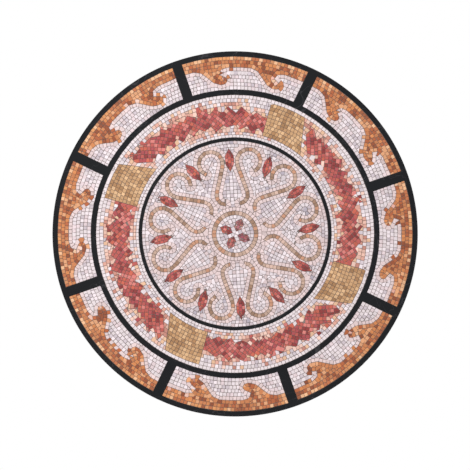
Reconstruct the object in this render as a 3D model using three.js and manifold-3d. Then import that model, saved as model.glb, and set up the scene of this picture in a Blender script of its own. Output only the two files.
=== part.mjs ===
// Round marble mosaic panel, made to be fixed to a wall.
//
// A disc of mortar carries stone laid flush on its front: a pierced frame of black
// marble, eight wave panels, a band of four laurel garlands and four ochre blocks,
// and a rosette of six hearts round an eye. The panel stands upright and faces -Y,
// with +Z up. The origin is the centre of its flat back.
//
// Every field of small stones is one plate with the field's true outline. Outlines
// are drawn flat, as seen from the front: x to the right, y up, angles in degrees
// anticlockwise from x. Plates that meet share one nominal line, and each of them
// stops half a joint short of it.

import * as THREE from 'three';
import { mergeVertices } from 'three/addons/utils/BufferGeometryUtils.js';
import Module from 'manifold-3d';

const wasm = await Module();
wasm.setup();

// ---- Driving dimensions, in millimetres and degrees ----

const PANEL_RADIUS = 500;
const BED_THICKNESS = 12.7;
const STONE_THICKNESS = 9;
const BED_SETBACK = 2; // the bed stops this far inside the panel's edge
const JOINT = 0.3; // clear gap between neighbouring plates

// Black lines, from the edge inwards.
const OUTER_RING_WIDTH = 14;
const MIDDLE_RING_RADII = [381, 395];
const INNER_RING_RADII = [255, 264];
const BAR_COUNT = 8;
const BAR_WIDTH = 27;
const BAR_ANGLE = 19.1; // of the first bar

// Wave panels. Their outlines are laid out on the unrolled band: along it in
// millimetres at WAVE_MEAN_RADIUS, clockwise from the bar, and across it by radius.
const WAVE_MEAN_RADIUS = 440;
const WAVE_STRIP_RADIUS = 456; // inner edge of the plain strip
const WAVE_CRESTS = [36, 189]; // where each crest leaves the strip
const CREST = {
  slope: [30, 38], // how far the curve down from the strip and up to the foot are drawn out
  foot: 409, // lowest radius of the crest
  footAt: 70,
  tip: [89, 421],
  hook: [78, 430], // the point that rounds the crest's back over to the notch
  notch: [67, 437],
  backAt: 91, // where the crest meets the strip again
};

// Garland band: ochre blocks and laurel garlands, angles clockwise from BLOCK_ANGLE.
const BLOCK_COUNT = 4;
const BLOCK_ANGLE = 165.5;
const BLOCK_RADII = [279, 371];
const BLOCK_START = 1;
const BLOCK_END = { outer: 16.5, inner: 25 };
const LEAF_COUNT = 11; // pairs of leaves in a garland
const GARLAND_START = 21.6;
const LEAF_OUTER = { tip: 357, notch: 341, notchAt: 0.62 }; // places in leaf pitches
const LEAF_INNER = { tip: 296, notch: 308, notchAt: 0.55, tipAt: 0.9 };
const GARLAND_DRIFT = 12; // how far the garland nears the centre over its length
const LEAD_LEAF = { tip: 362, tipAt: 0.04, shoulder: 334, shoulderAt: -0.1, notchAt: 0.78 };
const LEAF_SWAY = 5; // how far the tips wander in and out
const LEAF_SWAY_TURN = 2.4; // radians from one leaf's sway to the next

// Rosette: six hearts, each of two strands that mirror each other in its axis.
// In a heart's own frame y runs out along the axis and x across it.
const HEART_COUNT = 6;
const HEART_ANGLE = 4.3; // axis of the first heart
const STRAND_WIDTH = 10.5;
const LOBE = { x: 53, y: 196, radius: 33, curlEnd: 215 };
const FLARE = { x: 36.5, y: 101.3, radius: 24, end: 239 };
const BUD = { radius: 203, length: 63, width: 26.5 };
const HEART_BUD_TILT = 10;

// Eye at the centre.
const EYE_RING_RADII = [52, 63.5];
const PETAL_COUNT = 4;
const PETAL_ANGLE = 66.5;
const PETAL = { radius: 26, length: 37, width: 25 };

// How many sides and steps stand for round lines.
const CIRCLE_SIDES = 60;
const INNER_RING_SIDES = 48;
const EYE_SIDES = 24;
const CREST_STEPS = { slope: 4, tip: 2, hook: 3, notch: 2 };
const BLOCK_STEPS = { outer: 3, inner: 4 };
const LOBE_STEPS = 8;
const FLARE_STEPS = 3;
const LEAF_STEPS = 3;

const LEAST_SLANT = 0.3; // keeps a sharp corner from running far when its sides are moved
const WELD_DISTANCE = 1e-4;
const CUTTER_MARGIN = 1; // how far a cutter stands out of what it cuts

// ---- Materials ----

const stone = (color, roughness) => new THREE.MeshStandardMaterial({ color, roughness, metalness: 0 });
const mortar = stone(0xa79c90, 0.9);
const blackMarble = stone(0x25282c, 0.35);
const whiteMarble = stone(0xdaced2, 0.5);
const orangeStone = stone(0xb97148, 0.55);
const ochreStone = stone(0xbd9468, 0.55);
const redStone = stone(0xa9504a, 0.55);

// ---- Points and outlines ----

const radians = THREE.MathUtils.degToRad;
const degrees = THREE.MathUtils.radToDeg;
const centre = new THREE.Vector2();
const polar = (radius, angle) => new THREE.Vector2(radius, 0).rotateAround(centre, radians(angle));

// A point of the many-sided ring that stands for a circle, so that plates which meet
// on the same circle share its sides.
function ringPoint(radius, angle, sides = CIRCLE_SIDES) {
  const side = 360 / sides;
  const offCentre = (((angle % side) + side) % side) - side / 2;
  return polar((radius * Math.cos(radians(side / 2))) / Math.cos(radians(offCentre)), angle);
}

// The same ring from one angle to another, with its corners in between.
function ringArc(radius, from, to) {
  const side = 360 / CIRCLE_SIDES;
  const step = Math.sign(to - from);
  const angles = [from];
  const first = step > 0 ? Math.floor(from / side) + 1 : Math.ceil(from / side) - 1;
  for (let n = first; (to - n * side) * step > 0; n += step) angles.push(n * side);
  angles.push(to);
  return angles.map((angle) => ringPoint(radius, angle));
}

function circle(radius, sides = CIRCLE_SIDES) {
  return Array.from({ length: sides }, (_, n) => ringPoint(radius, (n * 360) / sides, sides));
}

// An arc of equal steps about a middle point, both ends included.
function arc(middle, radius, from, to, steps) {
  return Array.from({ length: steps + 1 }, (_, n) =>
    polar(radius, from + ((to - from) * n) / steps).add(middle));
}

// Moves every side of a closed anticlockwise outline inwards, or outwards if negative.
function inset(outline, distance) {
  return outline.map((point, n) => {
    const before = outline[(n + outline.length - 1) % outline.length];
    const after = outline[(n + 1) % outline.length];
    const a = point.clone().sub(before).normalize();
    const b = after.clone().sub(point).normalize();
    const bisector = new THREE.Vector2(-a.y - b.y, a.x + b.x).normalize();
    const slant = Math.max(LEAST_SLANT, bisector.dot(new THREE.Vector2(-a.y, a.x)));
    return point.clone().addScaledVector(bisector, distance / slant);
  });
}

const turned = (outline, angle) =>
  outline.map((point) => point.clone().rotateAround(centre, radians(angle)));
const mirrored = (outline) => outline.map((point) => new THREE.Vector2(-point.x, point.y)).reverse();

// ---- Plates ----

function extruded(outline, bottom, height, holes = []) {
  const shape = new THREE.Shape(outline);
  shape.holes = holes.map((hole) => new THREE.Path(hole));
  const geometry = new THREE.ExtrudeGeometry(shape, { depth: height, bevelEnabled: false });
  return geometry.translate(0, 0, bottom);
}

function solid(geometry) {
  const bare = geometry.clone();
  bare.deleteAttribute('normal');
  bare.deleteAttribute('uv');
  const merged = mergeVertices(bare, WELD_DISTANCE);
  const vertProperties = Float32Array.from(merged.attributes.position.array);
  const triVerts = Uint32Array.from(merged.index.array);
  return new wasm.Manifold(new wasm.Mesh({ numProp: 3, vertProperties, triVerts }));
}

function geometryOf(body) {
  const { vertProperties, triVerts } = body.getMesh();
  const geometry = new THREE.BufferGeometry();
  geometry.setAttribute('position', new THREE.BufferAttribute(vertProperties, 3));
  geometry.setIndex(new THREE.BufferAttribute(triVerts, 1));
  return geometry.toNonIndexed();
}

// A stone plate on the bed, half a joint short of its nominal outline.
const plate = (outline, holes = []) =>
  extruded(inset(outline, JOINT / 2), 0, STONE_THICKNESS, holes.map((hole) => inset(hole, -JOINT / 2)));

// A ground plate with the outlines of the figures that lie in it cut out.
function groundPlate(outline, holes, figures) {
  const cutterHeight = STONE_THICKNESS + 2 * CUTTER_MARGIN;
  const cutters = figures.map((figure) =>
    solid(extruded(inset(figure, -JOINT / 2), -CUTTER_MARGIN, cutterHeight)));
  const ground = cutters.reduce((body, cutter) => body.subtract(cutter), solid(plate(outline, holes)));
  return geometryOf(ground);
}

// ---- The panel ----

const panel = new THREE.Group();
panel.name = 'mosaic_panel';
const bedLayer = new THREE.Group(); // drawn flat, then turned upright to face -Y
bedLayer.rotation.x = Math.PI / 2;
const stoneLayer = new THREE.Group();
stoneLayer.position.z = BED_THICKNESS + JOINT;
bedLayer.add(stoneLayer);
panel.add(bedLayer);

function add(layer, name, geometry, material) {
  const mesh = new THREE.Mesh(geometry, material);
  mesh.name = name;
  layer.add(mesh);
}

add(bedLayer, 'setting_bed', extruded(circle(PANEL_RADIUS - BED_SETBACK), 0, BED_THICKNESS), mortar);

// ---- Black frame and inner ring ----

const waveRadii = [MIDDLE_RING_RADII[1], PANEL_RADIUS - OUTER_RING_WIDTH];
const barPitch = 360 / BAR_COUNT;

// Half the angle that a bar covers at a radius.
const barHalf = (radius) => degrees(Math.asin(BAR_WIDTH / 2 / radius));

// Angles where a wave panel starts and ends at a radius, clockwise from bar k.
function panelEnds(k, radius) {
  const bar = BAR_ANGLE + k * barPitch;
  return [bar - barHalf(radius), bar - barPitch + barHalf(radius)];
}

function panelOutline(k) {
  const [inner, outer] = waveRadii;
  const [innerStart, innerEnd] = panelEnds(k, inner);
  const [outerStart, outerEnd] = panelEnds(k, outer);
  return [...ringArc(outer, outerEnd, outerStart), ...ringArc(inner, innerStart, innerEnd)];
}

const bars = Array.from({ length: BAR_COUNT }, (_, k) => k);
const panelOutlines = bars.map(panelOutline);
const frameRim = circle(PANEL_RADIUS + JOINT / 2);
const frameHoles = [...panelOutlines, circle(MIDDLE_RING_RADII[0])];
add(stoneLayer, 'black_frame', plate(frameRim, frameHoles), blackMarble);
const [medallionRim, bandHole] = INNER_RING_RADII.map((radius) => circle(radius, INNER_RING_SIDES));
add(stoneLayer, 'black_inner_ring', plate(bandHole, [medallionRim]), blackMarble);

// ---- Waves ----

// A crest on the unrolled band, from where it leaves the strip to where it returns.
function crestLine(start) {
  const at = (x, radius) => new THREE.Vector2(start + x, radius);
  const { slope, foot, footAt, tip, hook, notch, backAt } = CREST;
  const top = WAVE_STRIP_RADIUS;
  const low = at(footAt, foot);
  const curves = [
    ['slope', new THREE.CubicBezierCurve(at(0, top), at(slope[0], top), at(slope[1], foot), low)],
    ['tip', new THREE.QuadraticBezierCurve(low, at(tip[0], foot), at(...tip))],
    ['hook', new THREE.CubicBezierCurve(at(...tip), at(tip[0], hook[1]), at(...hook), at(...notch))],
    ['notch', new THREE.QuadraticBezierCurve(at(...notch), at(notch[0], top), at(backAt, top))],
  ];
  return curves.flatMap(([name, curve], n) => curve.getPoints(CREST_STEPS[name]).slice(n === 0 ? 0 : 1));
}

// The line between wave and ground in panel k, clockwise.
function waveLine(k) {
  const bar = BAR_ANGLE + k * barPitch;
  const angleAt = (x) => bar - degrees(x / WAVE_MEAN_RADIUS);
  const crests = WAVE_CRESTS.map(crestLine);
  const between = (crests[0].at(-1).x + crests[1][0].x) / 2;
  const unrolled = [...crests[0], new THREE.Vector2(between, WAVE_STRIP_RADIUS), ...crests[1]];
  const ends = panelEnds(k, WAVE_STRIP_RADIUS).map((angle) => polar(WAVE_STRIP_RADIUS, angle));
  return [ends[0], ...unrolled.map((point) => polar(point.y, angleAt(point.x))), ends[1]];
}

bars.forEach((k) => {
  const line = waveLine(k);
  const [inner, outer] = waveRadii;
  const [outerStart, outerEnd] = panelEnds(k, outer);
  const [innerStart, innerEnd] = panelEnds(k, inner);
  const wave = [...ringArc(outer, outerEnd, outerStart), ...line];
  const ground = [...ringArc(inner, innerStart, innerEnd), ...line.toReversed()];
  add(stoneLayer, `wave_scroll_${k + 1}`, plate(wave), orangeStone);
  add(stoneLayer, `wave_ground_${k + 1}`, plate(ground), whiteMarble);
});

// ---- Ochre blocks and laurel garlands ----

const quarter = 360 / BLOCK_COUNT;

function blockOutline() {
  const [inner, outer] = BLOCK_RADII;
  return [
    ...arc(centre, outer, -BLOCK_END.outer, -BLOCK_START, BLOCK_STEPS.outer),
    ...arc(centre, inner, -BLOCK_START, -BLOCK_END.inner, BLOCK_STEPS.inner),
  ];
}

// Pairs of leaves whose tips point back along the garland and fan out of it. One broad
// leaf leads it, and it ends flat against the next block.
function garlandOutline() {
  const end = quarter + BLOCK_START;
  const pitch = (end - GARLAND_START) / LEAF_COUNT;
  const at = (radius, n) => polar(radius - (GARLAND_DRIFT * n) / LEAF_COUNT, -(GARLAND_START + n * pitch));
  const outerEdge = [
    at(LEAD_LEAF.shoulder, LEAD_LEAF.shoulderAt),
    at(LEAD_LEAF.tip, LEAD_LEAF.tipAt),
    at(LEAF_OUTER.notch, LEAD_LEAF.notchAt),
  ];
  const innerEdge = [];
  for (let n = 0; n < LEAF_COUNT; n += 1) {
    const sway = LEAF_SWAY * Math.sin(LEAF_SWAY_TURN * n);
    if (n > 0) outerEdge.push(at(LEAF_OUTER.tip + sway, n), at(LEAF_OUTER.notch, n + LEAF_OUTER.notchAt));
    innerEdge.push(at(LEAF_INNER.notch, n + LEAF_INNER.notchAt));
    innerEdge.push(at(LEAF_INNER.tip - sway, n + LEAF_INNER.tipAt));
  }
  outerEdge.push(at(LEAF_OUTER.notch, LEAF_COUNT));
  innerEdge.push(at(LEAF_INNER.tip, LEAF_COUNT));
  return [...innerEdge, ...outerEdge.reverse()];
}

const blocks = [];
const garlands = [];
for (let k = 0; k < BLOCK_COUNT; k += 1) {
  blocks.push(turned(blockOutline(), BLOCK_ANGLE - k * quarter));
  garlands.push(turned(garlandOutline(), BLOCK_ANGLE - k * quarter));
  add(stoneLayer, `ochre_block_${k + 1}`, plate(blocks[k]), ochreStone);
  add(stoneLayer, `laurel_garland_${k + 1}`, plate(garlands[k]), redStone);
}
const bandRim = circle(MIDDLE_RING_RADII[0]);
add(stoneLayer, 'garland_ground', groundPlate(bandRim, [bandHole], [...blocks, ...garlands]), whiteMarble);

// ---- Rosette of hearts ----

// One strand of a heart: a small arc that flares at the heart's point, a straight run
// and a round lobe that curls in. The run touches both circles, on opposite sides.
function strandOutline() {
  const flareCentre = new THREE.Vector2(FLARE.x, FLARE.y);
  const lobeCentre = new THREE.Vector2(LOBE.x, LOBE.y);
  const across = lobeCentre.clone().sub(flareCentre);
  const spread = degrees(Math.asin((FLARE.radius + LOBE.radius) / across.length()));
  const run = degrees(across.angle()) - spread;
  const half = STRAND_WIDTH / 2;
  const edge = (side) => [
    ...arc(flareCentre, FLARE.radius + side * half, FLARE.end, run + 90, FLARE_STEPS),
    ...arc(lobeCentre, LOBE.radius - side * half, run - 90, LOBE.curlEnd, LOBE_STEPS),
  ];
  return [...edge(-1), ...edge(1).reverse()];
}

// A pointed oval that lies along y about the origin.
function leafOutline(length, width) {
  const radius = (length ** 2 + width ** 2) / (4 * width);
  const half = degrees(Math.asin(length / 2 / radius));
  const right = arc(new THREE.Vector2(width / 2 - radius, 0), radius, -half, half, LEAF_STEPS);
  return [...right.slice(0, -1), ...turned(right, 180).slice(0, -1)];
}

// Moves an outline drawn about the origin out to a radius, with its y along that angle.
function placed(outline, radius, angle, tilt = 0) {
  const moved = turned(outline, tilt).map((point) => point.add(new THREE.Vector2(0, radius)));
  return turned(moved, angle - 90);
}

const figures = [];
function addFigure(name, outline, material) {
  figures.push(outline);
  add(stoneLayer, name, plate(outline), material);
}

const heartPitch = 360 / HEART_COUNT;
const strand = strandOutline();
const bud = leafOutline(BUD.length, BUD.width);
for (let k = 0; k < HEART_COUNT; k += 1) {
  const axis = HEART_ANGLE + k * heartPitch;
  const right = turned(strand, axis - 90);
  const left = turned(mirrored(strand), axis - 90);
  addFigure(`heart_${k + 1}_strand_right`, right, ochreStone);
  addFigure(`heart_${k + 1}_strand_left`, left, ochreStone);
  addFigure(`heart_bud_${k + 1}`, placed(bud, BUD.radius, axis, HEART_BUD_TILT), redStone);
  addFigure(`gap_bud_${k + 1}`, placed(bud, BUD.radius, axis + heartPitch / 2), redStone);
}
const eyeHole = circle(EYE_RING_RADII[1], EYE_SIDES);
add(stoneLayer, 'medallion_ground', groundPlate(medallionRim, [eyeHole], figures), whiteMarble);

// ---- Eye ----

const petals = Array.from({ length: PETAL_COUNT }, (_, k) =>
  placed(leafOutline(PETAL.length, PETAL.width), PETAL.radius, PETAL_ANGLE + (k * 360) / PETAL_COUNT));
petals.forEach((petal, k) => add(stoneLayer, `eye_petal_${k + 1}`, plate(petal), redStone));
const eyeRim = circle(EYE_RING_RADII[0], EYE_SIDES);
add(stoneLayer, 'eye_ring', plate(eyeHole, [eyeRim]), ochreStone);
add(stoneLayer, 'eye_ground', groundPlate(eyeRim, [], petals), whiteMarble);

export default panel;
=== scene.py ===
# Round marble mosaic panel.
#
# Every small stone is laid as its own cut block, in rows that follow the figures, on a
# cast mortar bed. The black marble lines are smooth strips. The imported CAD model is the
# frame: each field of stones keeps the outline of the CAD plate that it replaces.
#
# The layout is worked out flat, as seen from the front, in millimetres: x to the right,
# z up, angles in degrees anticlockwise from x. The front of the panel faces -Y.

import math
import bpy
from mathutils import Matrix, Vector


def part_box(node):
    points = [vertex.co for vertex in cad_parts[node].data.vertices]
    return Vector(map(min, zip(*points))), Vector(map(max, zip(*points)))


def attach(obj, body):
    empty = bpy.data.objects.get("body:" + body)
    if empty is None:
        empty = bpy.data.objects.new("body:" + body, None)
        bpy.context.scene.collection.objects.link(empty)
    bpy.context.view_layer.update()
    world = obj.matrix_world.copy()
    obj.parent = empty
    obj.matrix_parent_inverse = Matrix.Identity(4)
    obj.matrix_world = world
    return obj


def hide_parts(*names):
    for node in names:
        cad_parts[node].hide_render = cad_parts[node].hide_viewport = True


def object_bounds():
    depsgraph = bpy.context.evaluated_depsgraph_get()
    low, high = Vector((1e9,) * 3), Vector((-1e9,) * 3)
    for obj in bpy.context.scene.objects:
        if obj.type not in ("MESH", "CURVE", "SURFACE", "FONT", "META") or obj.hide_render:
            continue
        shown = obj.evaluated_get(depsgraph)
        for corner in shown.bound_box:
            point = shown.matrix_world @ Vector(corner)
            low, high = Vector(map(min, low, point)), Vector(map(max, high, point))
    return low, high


bl_info = {
    "name": "Round mosaic panel",
    "version": (1, 0, 0),
    "blender": (4, 5, 0),
    "location": "View3D > Sidebar > Mosaic",
    "description": "Lays the stones of a round marble mosaic panel on its mortar bed",
    "category": "Object",
}

import bpy
import numpy as np
from bpy.props import FloatProperty, FloatVectorProperty, PointerProperty
from mathutils import Vector

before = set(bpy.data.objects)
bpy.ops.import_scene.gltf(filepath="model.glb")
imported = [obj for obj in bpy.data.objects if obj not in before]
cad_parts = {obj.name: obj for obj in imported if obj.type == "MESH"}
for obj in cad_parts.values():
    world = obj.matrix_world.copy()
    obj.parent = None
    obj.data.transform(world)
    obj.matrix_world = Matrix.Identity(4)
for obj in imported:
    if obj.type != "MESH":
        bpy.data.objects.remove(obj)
cad_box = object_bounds()

MM = 0.001

# Levels of the panel in metres, and radii in millimetres, from the frame.
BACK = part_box("setting_bed")[1].y
BED_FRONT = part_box("setting_bed")[0].y
STONE_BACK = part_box("black_frame")[1].y
STONE_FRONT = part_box("black_frame")[0].y
PANEL_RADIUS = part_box("black_frame")[1].x / MM
BED_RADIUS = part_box("setting_bed")[1].x / MM

# Rings and bars, in millimetres and degrees.
WAVE_RADII = (395, 486)
MIDDLE_RING = (381, 395)
INNER_RING = (255, 264)
EYE_RING = (52, 63.5)
BAR_COUNT = 8
BAR_WIDTH = 27
BAR_ANGLE = 19.1
STRIP_RADIUS = 456  # the waves grow from an orange strip outside this
STRIP_ROWS = 3
BLOCK_RINGS = np.linspace(279, 371, 10)
BAND_RINGS = (INNER_RING[1], 271.5, *BLOCK_RINGS, MIDDLE_RING[0])

# Garlands and blocks, clockwise from the first block's end.
BLOCK_COUNT = 4
BLOCK_ANGLE = 165.5
BLOCK_TURN = 11.5  # from a block's end to its middle
GARLAND_RADIUS = 325

# One strand of a heart, in the heart's own frame: y out along its axis, x across it.
HEART_COUNT = 6
HEART_ANGLE = 4.3
STRAND_WIDTH = 10.5
LOBE = {"centre": (53, 196), "radius": 33, "end": 215}
FLARE = {"centre": (36.5, 101.3), "radius": 24, "end": 239}
BUD_RADIUS = 203
HEART_BUD_TILT = 10

# Buds and petals, laid in files of smaller stones.
PETAL_COUNT = 4
PETAL_ANGLE = 66.5
PETAL_RADIUS = 25.5
BUD_FILE, BUD_STONE = 8.5, 0.8  # width of a file, and share of a full stone
PETAL_FILE, PETAL_STONE = 7, 0.7

CELL = 0.5  # size of the squares that the layout is worked out on
LEVEL = 0.1  # points within this of a level lie on it
WANDER_LENGTH = 90  # rows of stones stray from their line over about this length
SEED = 7


# ---- Settings ----


def linear(colour):
    """An sRGB hex colour as linear red, green and blue."""
    channels = [int(colour[n : n + 2], 16) / 255 for n in (1, 3, 5)]
    return [c / 12.92 if c <= 0.04045 else ((c + 0.055) / 1.055) ** 2.4 for c in channels]


def size(name, description, default, low, high):
    return FloatProperty(
        name=name, description=description, default=default, min=low, max=high, unit="LENGTH", precision=5
    )


def colour(name, description, default):
    return FloatVectorProperty(
        name=name, description=description, default=linear(default), subtype="COLOR", min=0, max=1
    )


class StoneSizes(bpy.types.PropertyGroup):
    """How the small stones are cut and set"""

    pitch: size("Pitch", "Distance from one stone to the next", 0.010, 0.006, 0.02)
    joint: size("Joint", "Width of the mortar joint between stones", 0.0011, 0.0003, 0.003)
    arris: size("Arris", "How far the worn edge of a stone reaches in", 0.0008, 0.0001, 0.002)
    unevenness: size("Unevenness", "How far a stone may sink below the face", 0.0004, 0, 0.002)
    grout_depth: size("Grout depth", "How far the mortar lies below the stones", 0.0016, 0.0002, 0.004)


class PanelColours(bpy.types.PropertyGroup):
    """Colours of the stones, the mortar and the stage"""

    white: colour("White marble", "Ground of the panel", "#ddd1d4")
    orange: colour("Orange stone", "Waves", "#bf784b")
    ochre: colour("Ochre stone", "Blocks", "#c49a70")
    tan: colour("Tan stone", "Heart strands and eye ring", "#bc9e8d")
    red: colour("Red stone", "Garlands and buds", "#b65750")
    peach: colour("Peach stone", "Leaf tips round the garlands", "#e0b5a5")
    black: colour("Black marble", "Smooth black lines", "#0f1013")
    mortar: colour("Mortar", "Joints and bed", "#837671")
    floor: colour("Floor", "Stage under the panel", "#f2f1ef")


def sizes():
    return bpy.context.scene.mosaic_sizes


def colours():
    return bpy.context.scene.mosaic_colours


def pitch():
    """From one stone to the next, in millimetres."""
    return sizes().pitch / MM


# ---- Materials ----


MIX_FACTOR, MIX_A, MIX_B, MIX_RESULT = 0, 6, 7, 2  # a colour Mix node's own sockets


def add_node(tree, kind, inputs, **settings):
    """Adds a node, sets its properties, and sets or links each input by name or number."""
    node = tree.nodes.new(kind)
    for name, value in settings.items():
        setattr(node, name, value)
    for name, value in inputs.items():
        if isinstance(value, bpy.types.NodeSocket):
            tree.links.new(value, node.inputs[name])
        else:
            node.inputs[name].default_value = value
    return node


def new_material(name):
    material = bpy.data.materials.new(name)
    material.use_nodes = True
    material.node_tree.nodes.clear()
    return material, material.node_tree


def finish_material(material, surface):
    """Ends a material in a Principled shader with the given inputs."""
    tree = material.node_tree
    shader = add_node(tree, "ShaderNodeBsdfPrincipled", surface)
    add_node(tree, "ShaderNodeOutputMaterial", {"Surface": shader.outputs["BSDF"]})
    return material


# Each kind of stone: its material, grain in millimetres, contrast inside a stone,
# roughness and slot. Limestone's grain is finer, and is drawn coarse enough to show.
STONE_KINDS = {
    "white": ("split_white_marble", 0.7, 0.07, 0.42, "white_marble"),
    "orange": ("split_orange_limestone", 0.9, 0.14, 0.5, "orange_stone"),
    "ochre": ("split_ochre_limestone", 0.9, 0.12, 0.5, "ochre_stone"),
    "tan": ("split_tan_limestone", 0.9, 0.12, 0.5, "ochre_stone"),
    "red": ("split_red_marble", 0.8, 0.12, 0.4, "red_stone"),
}


def cut_stone(name, grain, contrast, roughness):
    """Stone blocks split by hand and rubbed smooth: each has its own tone, with a fine
    grain inside it, an arris drawn a little darker than the face, and small pits."""
    if name in bpy.data.materials:
        return bpy.data.materials[name]
    material, tree = new_material(name)
    place = add_node(tree, "ShaderNodeTexCoord", {}).outputs["Object"]
    tone = add_node(tree, "ShaderNodeAttribute", {}, attribute_name="stone_colour").outputs["Color"]
    own = add_node(tree, "ShaderNodeAttribute", {}, attribute_name="stone_seed").outputs["Fac"]
    edge = add_node(tree, "ShaderNodeAttribute", {}, attribute_name="stone_edge").outputs["Fac"]
    # Crystals of about the grain's size, and clouds about half as wide as a stone.
    crystals = add_node(
        tree, "ShaderNodeTexNoise",
        {"Vector": place, "W": own, "Scale": 1 / (grain * MM), "Detail": 3, "Roughness": 0.6},
        noise_dimensions="4D",
    ).outputs["Fac"]
    clouds = add_node(
        tree, "ShaderNodeTexNoise",
        {"Vector": place, "W": own, "Scale": 1 / (5 * MM), "Detail": 2, "Distortion": 1.5},
        noise_dimensions="4D",
    ).outputs["Fac"]
    mottle = add_node(tree, "ShaderNodeMath", {0: crystals, 1: clouds}, operation="ADD").outputs[0]
    spread = {"Value": mottle, "From Min": 0.7, "From Max": 1.3}
    shade = add_node(
        tree, "ShaderNodeMapRange", {**spread, "To Min": 1 - contrast, "To Max": 1 + contrast}
    ).outputs["Result"]
    shaded = add_node(tree, "ShaderNodeVectorMath", {0: tone, "Scale": shade}, operation="SCALE").outputs[0]
    # The arris is drawn darker than the face: the colour is multiplied down where stone_edge rises.
    darkened = add_node(
        tree, "ShaderNodeMix", {MIX_FACTOR: edge, MIX_A: shaded, MIX_B: (0.86, 0.84, 0.82, 1)},
        data_type="RGBA", blend_type="MULTIPLY",
    ).outputs[MIX_RESULT]
    gloss = add_node(
        tree, "ShaderNodeMapRange", {**spread, "To Min": roughness - 0.08, "To Max": roughness + 0.12}
    ).outputs["Result"]
    pits = add_node(
        tree, "ShaderNodeBump", {"Height": crystals, "Strength": 0.35, "Distance": 0.15 * MM}
    ).outputs["Normal"]
    return finish_material(material, {"Base Color": darkened, "Roughness": gloss, "Normal": pits, "IOR": 1.5})


def black_marble():
    """Black marble rubbed to a low polish: near black, with thin grey veins and faint
    fossil clouds, and a soft reflection."""
    if "honed_black_marble" in bpy.data.materials:
        return bpy.data.materials["honed_black_marble"]
    material, tree = new_material("honed_black_marble")
    place = add_node(tree, "ShaderNodeTexCoord", {}).outputs["Object"]
    clouds = add_node(
        tree, "ShaderNodeTexNoise",
        {"Vector": place, "Scale": 1 / (90 * MM), "Detail": 3, "Distortion": 0.8},
    ).outputs["Fac"]
    # A vein lies where the clouds cross their middle value.
    off_middle = add_node(tree, "ShaderNodeMath", {0: clouds, 1: 0.5}, operation="SUBTRACT").outputs[0]
    distance = add_node(tree, "ShaderNodeMath", {0: off_middle}, operation="ABSOLUTE").outputs[0]
    vein = add_node(
        tree, "ShaderNodeMapRange",
        {"Value": distance, "From Min": 0, "From Max": 0.005, "To Min": 0.16, "To Max": 0},
    ).outputs["Result"]
    black = tuple(colours().black)
    cloudy = add_node(
        tree, "ShaderNodeMix",
        {MIX_FACTOR: clouds, MIX_A: (*black, 1), MIX_B: (*(1.9 * c for c in black), 1)}, data_type="RGBA",
    ).outputs[MIX_RESULT]
    veined = add_node(
        tree, "ShaderNodeMix",
        {MIX_FACTOR: vein, MIX_A: cloudy, MIX_B: (*linear("#77747a"), 1)}, data_type="RGBA",
    ).outputs[MIX_RESULT]
    scratches = add_node(
        tree, "ShaderNodeTexNoise", {"Vector": place, "Scale": 1 / (2 * MM), "Detail": 4}
    ).outputs["Fac"]
    gloss = add_node(
        tree, "ShaderNodeMapRange",
        {"Value": scratches, "From Min": 0.3, "From Max": 0.7, "To Min": 0.32, "To Max": 0.46},
    ).outputs["Result"]
    return finish_material(material, {"Base Color": veined, "Roughness": gloss, "Specular IOR Level": 0.2})


def cast_mortar():
    """Lime and cement mortar with sharp sand: grainy and matt, with darker patches where
    it dried slowly and small air holes."""
    material, tree = new_material("cast_mortar")
    place = add_node(tree, "ShaderNodeTexCoord", {}).outputs["Object"]
    sand = add_node(
        tree, "ShaderNodeTexNoise",
        {"Vector": place, "Scale": 1 / (1.2 * MM), "Detail": 4, "Roughness": 0.7},
    ).outputs["Fac"]
    patches = add_node(
        tree, "ShaderNodeTexNoise", {"Vector": place, "Scale": 1 / (70 * MM), "Detail": 3}
    ).outputs["Fac"]
    air = add_node(
        tree, "ShaderNodeTexVoronoi", {"Vector": place, "Scale": 1 / (9 * MM)}
    ).outputs["Distance"]
    hole = add_node(
        tree, "ShaderNodeMapRange", {"Value": air, "From Min": 0.05, "From Max": 0.12}
    ).outputs["Result"]
    both = add_node(tree, "ShaderNodeMath", {0: sand, 1: patches}, operation="ADD").outputs[0]
    shade = add_node(
        tree, "ShaderNodeMapRange",
        {"Value": both, "From Min": 0.6, "From Max": 1.4, "To Min": 0.72, "To Max": 1.2},
    ).outputs["Result"]
    toned = add_node(
        tree, "ShaderNodeVectorMath", {0: tuple(colours().mortar), "Scale": shade}, operation="SCALE"
    ).outputs[0]
    height = add_node(tree, "ShaderNodeMath", {0: sand, 1: hole}, operation="ADD").outputs[0]
    grains = add_node(
        tree, "ShaderNodeBump", {"Height": height, "Strength": 0.6, "Distance": 0.4 * MM}
    ).outputs["Normal"]
    return finish_material(material, {"Base Color": toned, "Normal": grains, "Roughness": 0.9, "IOR": 1.5})


# ---- The layout, worked out on small square cells ----


def smooth_noise(x, z, length, seed):
    """A slow random wander from -1 to 1 that repeats over about the given length."""
    rng = np.random.default_rng(seed)
    total = np.zeros(np.shape(x))
    for _ in range(4):
        direction, phase, stretch = rng.uniform((0, 0, 0.7), (2 * math.pi, 2 * math.pi, 1.5))
        along = x * math.cos(direction) + z * math.sin(direction)
        total += np.sin(2 * math.pi * along / (length * stretch) + phase)
    return total / 4


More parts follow.
